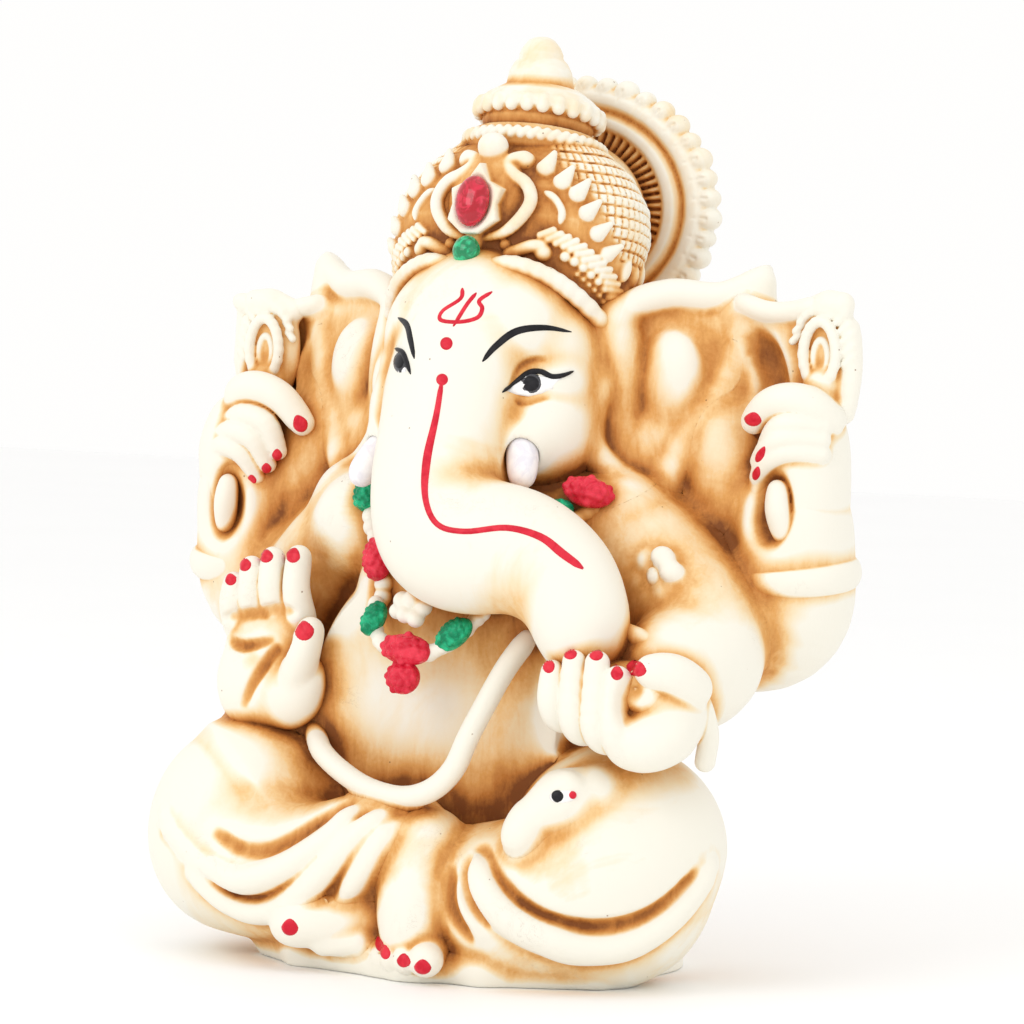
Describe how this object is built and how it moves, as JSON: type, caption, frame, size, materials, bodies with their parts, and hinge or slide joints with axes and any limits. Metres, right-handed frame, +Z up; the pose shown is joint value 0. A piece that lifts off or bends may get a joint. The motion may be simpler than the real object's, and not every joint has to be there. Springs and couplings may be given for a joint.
{
  "type": "seated ganesha idol",
  "caption": "Seated four-armed elephant-headed idol in cream plaster with a brown antique wash, a domed crown, a ribbed halo wheel and a low plinth.",
  "frame": {"origin": "middle of the underside of the part's bounding box, on the plinth's flat underside", "axes": "+Z up, +Y from the figure's face to its back, +X to the figure's left"},
  "size_m": [0.2462, 0.1342, 0.2985],
  "materials": {
    "plaster": "matte cast plaster, cream on the high places, with a rubbed brown wash in the hollows",
    "tusk_paint": "satin white paint on plaster",
    "red_stone": "glossy red paint on a cast stone",
    "green_stone": "glossy metallic green paint on a cast stone",
    "red_paint": "satin red paint on plaster"
  },
  "bodies": {
    "root": {"red_stone": "red_stone", "green_stone": "green_stone", "crown_plaque": "plaster", "crown_finial": "plaster", "crown_upper_brim": "plaster", "crown_lower_brim": "plaster", "crown_band": "plaster", "halo_wheel": "plaster", "crown_dome": "plaster", "left_tusk": "tusk_paint", "right_tusk": "tusk_paint", "sweet": "plaster", "pendant": "red_paint", "necklace": "plaster", "left_garland": "plaster", "right_garland": "plaster", "armlet": "plaster", "sash": "plaster", "mouse": "plaster", "left_front_bangle": "plaster", "left_rear_bangle": "plaster", "right_rear_bangle": "plaster", "left_emblem": "plaster", "right_emblem": "plaster", "left_front_hand": "plaster", "right_front_hand": "plaster", "left_rear_hand": "plaster", "right_rear_hand": "plaster", "right_foot": "plaster", "left_foot": "plaster", "trunk": "plaster", "head": "plaster", "left_ear": "plaster", "right_ear": "plaster", "left_front_arm": "plaster", "right_front_arm": "plaster", "left_rear_arm": "plaster", "right_rear_arm": "plaster", "plinth": "plaster", "left_leg": "plaster", "right_leg": "plaster", "torso": "plaster", "left_web": "plaster", "right_web": "plaster"}
  },
  "joints": []
}
